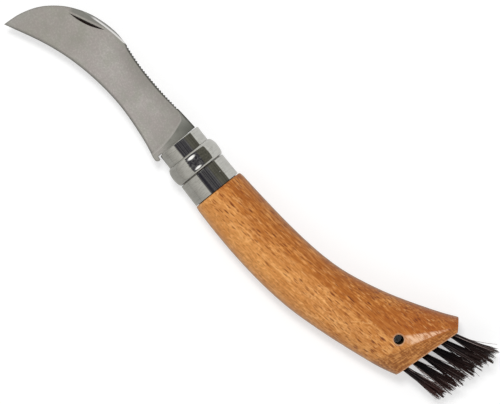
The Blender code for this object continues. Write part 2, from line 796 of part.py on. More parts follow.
def tuft_axis(lean, tilt):
    return Vector(
        (math.cos(lean) * math.cos(tilt), math.sin(lean) * math.cos(tilt), math.sin(tilt))
    )


def aim(obj, butt_point, axis, twist=0.0):
    """Puts an object made along +Z from the bottom of its hole onto a tuft's axis."""
    up = Vector((0, 0, 1))
    obj.rotation_mode = "QUATERNION"
    obj.rotation_quaternion = up.rotation_difference(axis) @ Quaternion(up, twist)
    obj.location = butt_point - axis * TUFT_HOLE_DEPTH


def lanyard_profile():
    """Half of the lanyard bore's section, with its chamfer at both faces."""
    reach = HALF_THICK + OVERRUN
    mouth = LANYARD_RADIUS + LANYARD_CHAMFER + OVERRUN
    straight = HALF_THICK - LANYARD_CHAMFER
    return [
        (reach, 0),
        (reach, mouth),
        (straight, LANYARD_RADIUS),
        (-straight, LANYARD_RADIUS),
        (-reach, mouth),
        (-reach, 0),
    ]


def make_handle(parts, cutters, frame):
    """The beech handle, with its blade slot, rivet bore, bevelled butt and drilled holes."""
    blank = handle_blank()
    smooth_by_angle(blank)
    handle = add_object("handle", blank, parts, frame, principled("beech", BEECH))
    slot = plate_mesh("blade_slot", slot_outline(), BLADE_HALF + SLOT_SIDE_GAP)
    cut(handle, add_cutter("blade_slot", slot, cutters, frame))
    bore = rod_mesh("rivet_bore", RIVET_RADIUS + RIVET_GAP, -BEAD_RADIUS, BEAD_RADIUS)
    rivet_bore = add_cutter("rivet_bore", bore, cutters, frame)
    rivet_bore.location = (0, PIVOT_Y, 0)
    cut(handle, rivet_bore)
    bevel_run = BUTT_BEVEL_RUN * math.cos(BUTT_BEVEL_TURN)
    bevel = math.atan2(HALF_THICK - BUTT_HALF_THICK, bevel_run)
    ridge_x = BUTT_X - BUTT_BEVEL_RUN
    ease_x = ridge_x - RIDGE_EASE_RUN
    size = HANDLE_RISE + 2 * GRIP_HALF_WIDTH
    for name, side, slope, x in (
        ("upper_bevel", 1, bevel, ridge_x),
        ("lower_bevel", -1, bevel, ridge_x),
        ("upper_ease", 1, RIDGE_EASE_TURN, ease_x),
        ("lower_ease", -1, RIDGE_EASE_TURN, ease_x),
    ):
        mesh = box_mesh(name, (-size, -size, 0), (size, size, size))
        plane = add_cutter(name, mesh, cutters, frame)
        roll, pitch = (0, slope) if side > 0 else (math.pi, -slope)
        plane.rotation_euler = (roll, pitch, -BUTT_BEVEL_TURN)
        plane.location = (x, HANDLE_RISE, side * HALF_THICK)
        cut(handle, plane)
    for name, y, turn in (
        ("butt_face", HANDLE_RISE, -BUTT_TURN),
        ("top_corner", BUTT_TOP, TOP_CORNER_TURN),
    ):
        mesh = box_mesh(name, (0, -size, -size), (size, size, size))
        corner = add_cutter(name, mesh, cutters, frame)
        corner.rotation_euler = (0, 0, turn)
        corner.location = (butt_x(y), y, 0)
        cut(handle, corner)
    lanyard = turned_mesh("lanyard_bore", lanyard_profile(), SMALL_ROUND_STEPS, "Z")
    lanyard_bore = add_cutter("lanyard_bore", lanyard, cutters, frame)
    lanyard_bore.location = (LANYARD_X, LANYARD_Y, 0)
    cut(handle, lanyard_bore)
    drill = rod_mesh(
        "tuft_hole", TUFT_HOLE_RADIUS, -TUFT_GAP, TUFT_HOLE_DEPTH + 3 * OVERRUN, HOLE_STEPS
    )
    for i, (butt_point, lean, tilt) in enumerate(tuft_places(), 1):
        hole = add_cutter(f"tuft_hole_{i:02d}", drill, cutters, frame)
        aim(hole, butt_point, tuft_axis(lean, tilt))
        cut(handle, hole)
    return handle


def bristle_places():
    """Places in a unit circle, spread evenly as the seeds of a sunflower are."""
    golden = math.pi * (3 - math.sqrt(5))
    for i in range(BRISTLES_IN_TUFT):
        radius = math.sqrt((i + 0.5) / BRISTLES_IN_TUFT)
        yield radius * math.cos(i * golden), radius * math.sin(i * golden)


def bristles_mesh():
    """All the strands of one tuft: three-sided, tapered, and fanned out so that none cross."""
    rng = random.Random(8)
    work = bmesh.new()
    foot = TUFT_PLUG_LENGTH - TUFT_GAP
    for across, up in bristle_places():
        low = Vector((across * TUFT_MOUTH_RADIUS, up * TUFT_MOUTH_RADIUS, foot))
        reach = BRISTLE_REACH - BRISTLE_REACH_SPREAD * rng.random()
        high = Vector((across * TUFT_TIP_RADIUS, up * TUFT_TIP_RADIUS, TUFT_HOLE_DEPTH + reach))
        run = high - low
        twist = Quaternion(Vector((0, 0, 1)), rng.random() * math.tau)
        aimed = (run.to_track_quat("Z", "X") @ twist).to_matrix().to_4x4()
        bmesh.ops.create_cone(
            work,
            cap_ends=True,
            segments=3,
            radius1=BRISTLE_RADIUS,
            radius2=BRISTLE_TIP_RADIUS,
            depth=run.length,
            matrix=Matrix.Translation((low + high) / 2) @ aimed,
        )
    return mesh_from("bristles", work)


def tuft_mesh(cutters):
    """One tuft: its strands fused to the bound root that fills the hole, slit for the anchor."""
    root_radius = TUFT_HOLE_RADIUS - TUFT_GAP
    root = rod_mesh("tuft_root", root_radius, TUFT_GAP, TUFT_PLUG_LENGTH, HOLE_STEPS)
    tuft = add_cutter("tuft_pattern", root, cutters, None)
    strands = add_cutter("tuft_strands", bristles_mesh(), cutters, None)
    cut(tuft, strands, "UNION")
    half = ANCHOR_THICK / 2 + TUFT_GAP
    low = (-TUFT_HOLE_RADIUS, -half, -OVERRUN)
    high = (TUFT_HOLE_RADIUS, half, ANCHOR_HEIGHT + 2 * TUFT_GAP)
    cut(tuft, add_cutter("anchor_slit", box_mesh("anchor_slit", low, high), cutters, None))
    graph = bpy.context.evaluated_depsgraph_get()
    return bpy.data.meshes.new_from_object(tuft.evaluated_get(graph))


def make_brush(parts, cutters, frame):
    """Twelve tufts in two rows of drilled holes, each held by a flat wire anchor."""
    hair = principled("boar_hair", BOAR_HAIR)
    wire = principled("anchor_wire", ANCHOR_WIRE)
    pattern = tuft_mesh(cutters)
    low = (-ANCHOR_WIDTH / 2, -ANCHOR_THICK / 2, TUFT_GAP)
    high = (ANCHOR_WIDTH / 2, ANCHOR_THICK / 2, TUFT_GAP + ANCHOR_HEIGHT)
    plate = box_mesh("tuft_anchor", low, high)
    for i, (butt_point, lean, tilt) in enumerate(tuft_places(), 1):
        axis = tuft_axis(lean, tilt)
        tuft = add_object(f"bristle_tuft_{i:02d}", pattern, parts, frame, hair)
        aim(tuft, butt_point, axis, TUFT_TWIST * i)
        anchor = add_object(f"tuft_anchor_{i:02d}", plate, parts, frame, wire)
        aim(anchor, butt_point, axis, TUFT_TWIST * i)


def main():
    clear_scene()
    parts = new_collection("mushroom_knife")
    cutters = new_collection("cutters")
    frame = bpy.data.objects.new("knife_frame", None)
    parts.objects.link(frame)
    frame.location = (-REST_X, 0, HALF_THICK)
    polished = principled("polished_steel", POLISHED_STEEL)
    make_handle(parts, cutters, frame)
    make_ferrule(parts, cutters, frame, polished)
    make_ring(parts, cutters, frame, polished)
    make_rivet(parts, cutters, frame, polished)
    make_blade(parts, cutters, frame)
    make_brush(parts, cutters, frame)
    bpy.context.view_layer.update()


main()
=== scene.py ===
"""Looks of the folding mushroom knife: varnished beech, satin blade, mirror collar, bristle brush.

Metres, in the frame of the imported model. The pivot's height is the knife's middle plane. Colours
are linear. A share says how much of a colour is laid over the one below it.
"""

import json
import math
import random
from typing import NamedTuple

import bmesh
import bpy
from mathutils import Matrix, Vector

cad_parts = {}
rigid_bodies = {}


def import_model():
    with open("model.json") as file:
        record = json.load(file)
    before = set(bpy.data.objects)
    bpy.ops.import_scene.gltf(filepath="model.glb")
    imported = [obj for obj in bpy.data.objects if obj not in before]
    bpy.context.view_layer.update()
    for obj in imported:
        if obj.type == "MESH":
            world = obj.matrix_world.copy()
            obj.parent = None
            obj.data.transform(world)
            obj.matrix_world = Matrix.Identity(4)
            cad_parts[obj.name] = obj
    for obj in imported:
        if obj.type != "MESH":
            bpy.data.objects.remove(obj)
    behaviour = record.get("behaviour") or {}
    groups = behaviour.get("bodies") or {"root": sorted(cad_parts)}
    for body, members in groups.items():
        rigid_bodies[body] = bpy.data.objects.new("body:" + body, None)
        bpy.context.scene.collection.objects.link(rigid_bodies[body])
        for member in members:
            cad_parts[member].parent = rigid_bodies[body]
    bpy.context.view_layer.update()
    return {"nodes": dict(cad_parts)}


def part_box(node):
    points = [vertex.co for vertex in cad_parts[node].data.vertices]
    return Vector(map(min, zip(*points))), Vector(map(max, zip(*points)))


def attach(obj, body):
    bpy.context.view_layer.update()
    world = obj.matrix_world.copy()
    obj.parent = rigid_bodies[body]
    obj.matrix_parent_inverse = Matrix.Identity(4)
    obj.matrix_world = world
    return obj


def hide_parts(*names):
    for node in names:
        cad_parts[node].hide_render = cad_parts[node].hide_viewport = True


MM = 0.001

# The photograph: looking straight down, with the knife's +X to the lower right
VIEW_WIDTH = 0.190
VIEW_CENTRE = (-0.0051, 0.0069)
VIEW_TURN = math.radians(-51.4)
VIEW_CLIP = 20.0
LENS = 260.0
SENSOR = 36.0

MIDDLE_Z = 0.0109

# Handle: its middle line is straight up to BEND_X, and a parabola behind it. The ridge before the
# bevel and the butt face are slanted, and stand at RIDGE_X and BUTT_X where y is HANDLE_RISE
BEND_X = -0.0100
BEND = 3.19
GRAIN_TURN = math.radians(9.0)
BAND_DRIFT = 0.014
SIDE_BLEND = 0.0065
HANDLE_RISE = 0.0270
RIDGE_X = 0.0764
RIDGE_TURN = math.radians(17.0)
BUTT_X = 0.0818
BUTT_TURN = math.radians(3.4)
LANYARD_X = 0.0705
LANYARD_Y = 0.0184
LANYARD_RADIUS = 0.0019
FLECK_CORE = 0.40
FLECK_EDGE = 0.10
# Painted highlight along the butt's ridge: its reach past the ridge, how fast that shrinks with y,
# and its least reach
HIGHLIGHT_REACH = 0.00985
HIGHLIGHT_SLOPE = 0.27
HIGHLIGHT_LEAST = 0.0007

# Dirt behind the collar's rear end: where it starts, is full, fades and ends
SEAM_DIRT = (-0.0008, -0.0004, 0.0002, 0.0006)

# Blade: behind the hump the spine dips in a parabola. The plunge line leans and bows to the rear
# and runs forwards in a sliver along the spine
CREST_X = -0.0670
CREST_Y = 0.00645
CREST_BEND = 4.5
CREST_TOP_Y = 0.00805
PLUNGE_X = -0.0468
PLUNGE_TOP_Y = 0.0080
PLUNGE_DROP = 0.0193
PLUNGE_LEAN = 0.0046
PLUNGE_BOW = 0.0013
PLUNGE_SLIVER = 0.0060
NICK_X = -0.0974
NICK_Y = 0.0015
NICK_TILT = math.radians(26.0)
OUTLINE_RADIUS = 0.0010

# How far the painted shade in the collar's creases reaches
CREASE_SHADE_REACH = 0.0009

# Finish of the CAD meshes
MERGE = 0.000003
SMOOTH_ANGLE = math.radians(32.0)
BLADE_SMOOTH_ANGLE = math.radians(7.0)

# The brush: tufts in two rows along the butt, first the upper row
TUFT_ROWS = (1, -1)
TUFTS_IN_ROW = 6
TUFT_PITCH = 0.0044
TUFT_FIRST_Y = 0.0134
TUFT_ROW_Z = 0.0023
TUFT_LEAN = math.radians(20.0)
TUFT_FAN = math.radians(1.5)
TUFT_ROW_FAN = math.radians(2.5)
TUFT_SEED = 40

# Hairs, gathered in clumps. A is along the row of tufts and B is across it
HAIRS_IN_TUFT = 90
HAIR_REACH = 18.2 * MM
HAIR_REACH_OVER = 0.5 * MM
HAIR_UNEVEN = 0.55 * MM
HAIR_RADIUS = 0.14 * MM
HAIR_BOW = 0.14 * MM
HAIR_BOW_BACK = 0.13
ROOT_DEPTH = 2.2 * MM
ROOT_A = 0.98 * MM
ROOT_B = 1.15 * MM
CLUMPS_IN_TUFT = 6
CLUMP_SPREAD = 2.00 * MM
CLUMP_SPREAD_STEP = 0.10 * MM
CLUMP_SPREAD_RANGE = 0.35 * MM
CLUMP_WIDER_A = 1.25
CLUMP_DRIFT_A = 0.40 * MM
CLUMP_DRIFT_B = 0.25 * MM
CLUMP_SHORTER = 1.9 * MM
CLUMP_WIDTH = 0.80 * MM
CLUMP_TINT = 0.45
STRAY_CHANCE = 0.20
STRAY_A = 1.3 * MM
STRAY_B = 0.5 * MM
STRAY_SHORTER = 2.2 * MM
STRAND_STEPS = 5
STRAND_SIDES = 3
STRAND_TAPER = 0.55
STRAND_TWIST = 5.0

# Studio
FLOOR_SIZE = 3.0
SHADE_REACH = 0.012
SKY_EDGE = 0.03
SKY_WAVE = 0.10
LAMP_COLOUR = (1.7, 1.7, 1.7)


def tuft_places():
    """Each tuft's point on the butt face, its lean in the knife's plane and its tilt out of it."""
    for row in TUFT_ROWS:
        for i in range(TUFTS_IN_ROW):
            y = TUFT_FIRST_Y + TUFT_PITCH * i
            lean = TUFT_LEAN + TUFT_FAN * (i - (TUFTS_IN_ROW - 1) / 2)
            x = BUTT_X + (y - HANDLE_RISE) * math.tan(BUTT_TURN)
            yield Vector((x, y, MIDDLE_Z + row * TUFT_ROW_Z)), lean, row * TUFT_ROW_FAN


class Tone(NamedTuple):
    """A colour, the values between which it comes in or goes out, and its greatest share.

    The share is a number or a socket.
    """

    colour: tuple
    low: float
    high: float
    share: float


class Nodes:
    """Short calls for building a material's node tree."""

    def __init__(self, name):
        self.material = bpy.data.materials.new(name)
        self.material.use_nodes = True
        self.tree = self.material.node_tree
        self.shader = self.tree.nodes["Principled BSDF"]
        origin = self.add("ShaderNodeTexCoord")
        self.place = origin.outputs["Object"]
        self.turned = origin.outputs["Normal"]

    def add(self, kind, **settings):
        node = self.tree.nodes.new(kind)
        for key, value in settings.items():
            setattr(node, key, value)
        return node

    def feed(self, socket, value):
        if isinstance(value, bpy.types.NodeSocket):
            self.tree.links.new(value, socket)
        elif isinstance(value, (tuple, list)) and len(value) == 3 and socket.type == "RGBA":
            socket.default_value = (*value, 1.0)
        else:
            socket.default_value = value

    def set(self, **sockets):
        for name, value in sockets.items():
            self.feed(self.shader.inputs[name.replace("_", " ")], value)

    def split(self, vector):
        node = self.add("ShaderNodeSeparateXYZ")
        self.feed(node.inputs[0], vector)
        return node.outputs

    def scaled(self, vector, scale, turn=0.0):
        node = self.add("ShaderNodeMapping")
        self.feed(node.inputs["Vector"], vector)
        self.feed(node.inputs["Rotation"], (0.0, 0.0, turn))
        self.feed(node.inputs["Scale"], scale)
        return node.outputs[0]

    def math(self, operation, a, b=0.0):
        node = self.add("ShaderNodeMath", operation=operation)
        self.feed(node.inputs[0], a)
        self.feed(node.inputs[1], b)
        return node.outputs[0]

    def plus(self, a, b):
        return self.math("ADD", a, b)

    def minus(self, a, b):
        return self.math("SUBTRACT", a, b)

    def larger(self, a, b):
        return self.math("MAXIMUM", a, b)

    def size(self, value):
        """The value without its sign."""
        return self.math("ABSOLUTE", value)

    def product(self, *shares):
        value = shares[0]
        for share in shares[1:]:
            value = self.math("MULTIPLY", value, share)
        return value

    def rising(self, value, base, gain):
        """base + gain * value."""
        return self.plus(base, self.product(value, gain))

    def squares(self, a, b):
        """a * a + b * b."""
        return self.plus(self.product(a, a), self.product(b, b))

    def ramp(self, value, low, high, smooth=True):
        """0 below low, 1 above high."""
        node = self.add("ShaderNodeMapRange")
        node.interpolation_type = "SMOOTHSTEP" if smooth else "LINEAR"
        self.feed(node.inputs["Value"], value)
        self.feed(node.inputs["From Min"], low)
        self.feed(node.inputs["From Max"], high)
        return node.outputs[0]

    def below(self, value, low, high):
        """1 below low, 0 above high."""
        return self.minus(1.0, self.ramp(value, low, high))

    def between(self, value, start, full, fade, end):
        """0 before start, 1 from full to fade, 0 after end."""
        return self.product(self.ramp(value, start, full), self.below(value, fade, end))

    def noise(self, vector, scale, detail, roughness, distortion=0.0):
        node = self.add("ShaderNodeTexNoise")
        self.feed(node.inputs["Vector"], vector)
        self.feed(node.inputs["Scale"], scale)
        self.feed(node.inputs["Detail"], detail)
        self.feed(node.inputs["Roughness"], roughness)
        self.feed(node.inputs["Distortion"], distortion)
        return node.outputs[0]

    def mix(self, share, a, b):
        node = self.add("ShaderNodeMix", data_type="RGBA")
        self.feed(node.inputs[0], share)
        self.feed(node.inputs[6], a)
        self.feed(node.inputs[7], b)
        return node.outputs[2]

    def tint(self, body, colour, *shares):
        """body with colour laid over it, by the product of the shares."""
        return self.mix(self.product(*shares), body, colour)

    def figure(self, body, noise, over, under, where=None):
        """body with the tone over laid where the noise is high, and under where it is low."""
        places = () if where is None else (where,)
        high = self.ramp(noise, over.low, over.high)
        body = self.tint(body, over.colour, high, *places, over.share)
        low = self.below(noise, under.low, under.high)
        return self.tint(body, under.colour, low, *places, under.share)

    def bump(self, height, distance, strength):
        node = self.add("ShaderNodeBump")
        self.feed(node.inputs["Height"], height)
        self.feed(node.inputs["Distance"], distance)
        self.feed(node.inputs["Strength"], strength)
        self.feed(self.shader.inputs["Normal"], node.outputs[0])


class Beech(Nodes):
    """Varnished beech. Each step lays its colours over those of the step before."""

    def __init__(self):
        super().__init__("varnished_beech")
        self.x, self.y, _ = self.split(self.place)
        self.facing_x, _, self.facing_z = self.split(self.turned)
        self.grain = self.scaled(self.place, (1.0, 1.0, 1.0), -GRAIN_TURN)
        self.bands = self.along(0.10, 200.0, detail=3.0, roughness=0.55, distortion=0.4)
        self.streaks = self.along(0.07, 1300.0, detail=3.0, roughness=0.70)
        # how far a place is from the handle's curved middle line, and on which side of it
        behind_bend = self.larger(self.minus(self.x, BEND_X), 0.0)
        self.off = self.minus(self.y, self.product(behind_bend, behind_bend, BEND))
        drift = self.product(self.minus(self.bands, 0.5), BAND_DRIFT)
        self.spine_side = self.ramp(self.plus(self.off, drift), -SIDE_BLEND, SIDE_BLEND)
        self.belly_side = self.below(self.spine_side, 0.20, 0.90)
        # how far a place is past the ridge between the handle's flank and the butt's bevel
        self.past_ridge = self.minus(
            self.product(self.minus(self.x, RIDGE_X), math.cos(RIDGE_TURN)),
            self.product(self.minus(self.y, HANDLE_RISE), math.sin(RIDGE_TURN)),
        )

    def along(self, stretch, scale, detail, roughness, distortion=0.0):
        """Noise that is drawn out along the grain."""
        vector = self.scaled(self.grain, (stretch, 1.0, 1.0))
        return self.noise(vector, scale, detail, roughness, distortion)

    def plank(self):
        """The plank's bands, mottle, streaks and veins. It is darker to the spine side, partly the
        wood's own tone and partly painted shade.
        """
        band = self.ramp(self.bands, 0.38, 0.62)
        belly_tone_and_light = self.mix(band, (0.725, 0.330, 0.096), (0.640, 0.255, 0.056))
        spine_tone_and_shade = self.mix(band, (0.590, 0.222, 0.040), (0.465, 0.145, 0.018))
        # lighter to the belly side and darker to the spine side: partly the wood's own tone, partly
        # painted shade
        body = self.mix(self.spine_side, belly_tone_and_light, spine_tone_and_shade)
        mottle = self.along(0.30, 420.0, detail=4.0, roughness=0.65, distortion=0.3)
        body = self.tint(body, (0.440, 0.135, 0.020), self.ramp(mottle, 0.36, 0.66), 0.50)
        body = self.figure(
            body,
            self.streaks,
            over=Tone((0.360, 0.100, 0.016), low=0.48, high=0.66, share=0.55),
            under=Tone((0.860, 0.430, 0.140), low=0.34, high=0.50, share=0.42),
        )
        vein_share = self.rising(self.spine_side, 0.14, 0.34)
        return self.figure(
            body,
            self.along(0.10, 750.0, detail=3.0, roughness=0.60, distortion=0.6),
            over=Tone((0.350, 0.098, 0.014), low=0.49, high=0.60, share=vein_share),
            under=Tone((0.860, 0.440, 0.150), low=0.36, high=0.46, share=0.38),
        )

    def sides(self, body):
        """Darker patches and short grain to the spine side, a wavy figure to the belly side."""
        patches = self.along(0.35, 170.0, detail=3.0, roughness=0.60, distortion=0.8)
        patch = self.ramp(patches, 0.42, 0.60)
        body = self.tint(body, (0.340, 0.090, 0.009), patch, self.spine_side, 0.40)
        body = self.figure(
            body,
            self.along(0.22, 1600.0, detail=2.0, roughness=0.60, distortion=0.3),
            over=Tone((0.300, 0.078, 0.010), low=0.50, high=0.60, share=0.38),
            under=Tone((0.760, 0.340, 0.090), low=0.36, high=0.46, share=0.34),
            where=self.spine_side,
        )
        body = self.figure(
            body,
            self.along(0.45, 620.0, detail=3.0, roughness=0.60, distortion=1.6),
            over=Tone((0.430, 0.150, 0.028), low=0.47, high=0.60, share=0.42),
            under=Tone((0.900, 0.500, 0.190), low=0.36, high=0.47, share=0.42),
            where=self.belly_side,
        )
        front = self.below(self.x, 0.010, 0.045)
        rear = self.ramp(self.x, 0.045, 0.070)
        far_rear = self.ramp(self.x, 0.054, 0.070)
        body = self.tint(body, (0.880, 0.420, 0.120), front, self.belly_side, 0.22)
        body = self.tint(body, (0.520, 0.200, 0.040), rear, self.belly_side, 0.16)
        return self.tint(body, (0.290, 0.050, 0.002), far_rear, self.spine_side, 0.40)

    def spindles(self, stretch, scale, width, threshold):
        """Spindles along the grain, in the cells whose random number passes threshold."""
        cells = self.add("ShaderNodeTexVoronoi", feature="F1")
        self.feed(cells.inputs["Vector"], self.scaled(self.grain, stretch))
        self.feed(cells.inputs["Scale"], scale)
        self.feed(cells.inputs["Randomness"], 1.0)
        core = self.below(cells.outputs["Distance"], width * FLECK_CORE, width)
        number = self.split(cells.outputs["Color"])[0]
        return self.product(core, self.ramp(number, threshold, threshold + FLECK_EDGE))

    def flecks(self, body):
        """Flecks in a few sizes, fewer on the belly side in front. Also returns the deep ones."""
        spine_half = self.ramp(self.off, -0.0080, -0.0020)
        busy = self.rising(self.larger(spine_half, self.ramp(self.x, 0.0380, 0.0600)), 0.35, 0.65)
        large = self.spindles((0.17, 1.0, 1.0), 950.0, width=0.33, threshold=0.58)
        medium = self.spindles((0.16, 1.0, 0.9), 1450.0, width=0.40, threshold=0.34)
        small = self.spindles((0.22, 1.0, 0.8), 2200.0, width=0.44, threshold=0.35)
        pale = self.spindles((0.16, 0.9, 1.0), 1200.0, width=0.38, threshold=0.50)
        large, medium = self.product(large, busy), self.product(medium, busy)
        small_share = self.rising(self.spine_side, 0.50, 0.20)
        body = self.tint(body, (0.900, 0.500, 0.190), pale, 0.40)
        body = self.tint(body, (0.270, 0.070, 0.010), small, small_share)
        body = self.tint(body, (0.240, 0.056, 0.010), medium, 0.90)
        body = self.tint(body, (0.165, 0.034, 0.008), large, 0.95)
        return body, self.larger(large, medium)

    def bevel(self, body):
        """The butt's browner bevel, with fine lines both ways, as sanding leaves them."""
        bevel = self.ramp(self.past_ridge, 0.0004, 0.0014)
        body = self.tint(body, (0.400, 0.142, 0.028), bevel, 0.72)
        lengthwise = self.along(0.08, 1350.0, detail=1.0, roughness=0.50)
        ridgewise = self.scaled(self.place, (1.0, 0.08, 1.0), -RIDGE_TURN)
        crosswise = self.noise(ridgewise, 1350.0, detail=1.0, roughness=0.50)
        for lines in (lengthwise, crosswise):
            body = self.figure(
                body,
                lines,
                over=Tone((0.215, 0.064, 0.013), low=0.50, high=0.58, share=0.50),
                under=Tone((0.820, 0.420, 0.150), low=0.38, high=0.46, share=0.22),
                where=bevel,
            )
        return body

    def painted_ridge_highlight(self, body):
        """Painted highlight along the ridge, wider to the belly side, and at the butt's rim."""
        lines = self.along(0.14, 1500.0, detail=2.0, roughness=0.60)
        depth = self.larger(self.rising(self.y, HIGHLIGHT_REACH, -HIGHLIGHT_SLOPE), HIGHLIGHT_LEAST)
        ridge_highlight = self.product(
            self.ramp(self.plus(self.past_ridge, depth), 0.0, 0.0012),
            self.below(self.past_ridge, 0.0001, 0.0008),
            self.between(self.y, 0.0190, 0.0225, 0.0320, 0.0375),
        )
        uneven = self.rising(self.ramp(lines, 0.40, 0.56), 0.20, 0.70)
        body = self.tint(body, (0.860, 0.540, 0.340), ridge_highlight, uneven)
        # painted highlight along the butt's rim
        height = self.minus(self.y, HANDLE_RISE)
        butt_x = self.rising(height, BUTT_X, math.tan(BUTT_TURN))
        rim = self.below(self.minus(butt_x, self.x), 0.0002, 0.0006)
        return self.tint(body, (0.800, 0.500, 0.330), rim, 0.35)

    def ends(self, body, seam):
        """Dirt in the seam behind the collar, and end grain on the butt face."""
        dirt = self.between(self.minus(self.x, seam), *SEAM_DIRT)
        body = self.tint(body, (0.070, 0.026, 0.010), dirt, 0.75)
        drawn_out = self.scaled(self.place, (1.0, 0.25, 1.0))
        rings = self.noise(drawn_out, 900.0, detail=3.0, roughness=0.60, distortion=0.6)
        ring = self.ramp(rings, 0.42, 0.60)
        end_grain = self.mix(ring, (0.360, 0.150, 0.045), (0.230, 0.082, 0.022))
        return self.tint(body, end_grain, self.ramp(self.facing_x, 0.93, 0.97))

    def lanyard_hole(self, body):
        """A painted highlight on the rim, and painted shade inside. Also returns 0 in the hole and
        1 outside it.
        """
        squares = self.squares(self.minus(self.x, LANYARD_X), self.minus(self.y, LANYARD_Y))
        reach = self.minus(self.math("SQRT", squares), LANYARD_RADIUS)
        body = self.tint(body, (0.640, 0.440, 0.310), self.below(reach, 0.00035, 0.00065), 0.40)
        outside = self.ramp(reach, -0.00003, 0.00003)
        return self.mix(outside, (0.006, 0.003, 0.003), body), outside

    def painted_flank_shade(self, body):
        """Painted shade greys the flanks that face sideways a little, but not the butt face."""
        flank = self.below(self.size(self.facing_z), 0.10, 0.45)
        not_butt = self.below(self.facing_x, 0.80, 0.95)
        return self.tint(body, (0.260, 0.165, 0.085), flank, not_butt, 0.38)

    def varnish(self, body, deep_flecks, outside):
        gloss = self.product(outside, 0.15)
        self.set(Base_Color=body, Roughness=0.45, Specular_IOR_Level=gloss)
        coat = self.product(outside, 0.20)
        self.set(Coat_Weight=coat, Coat_Roughness=self.rising(self.streaks, 0.08, 0.30))
        height = self.minus(self.product(self.streaks, 0.6), deep_flecks)
        self.bump(height, distance=0.00006, strength=0.5)


def beech_material(seam):
    """seam is the x of the collar's rear end, against which the handle is fitted."""
    n = Beech()
    body, deep_flecks = n.flecks(n.sides(n.plank()))
    body = n.painted_ridge_highlight(n.bevel(body))
    body, outside = n.lanyard_hole(n.ends(body, seam))
    n.varnish(n.painted_flank_shade(body), deep_flecks, outside)
    return n.material


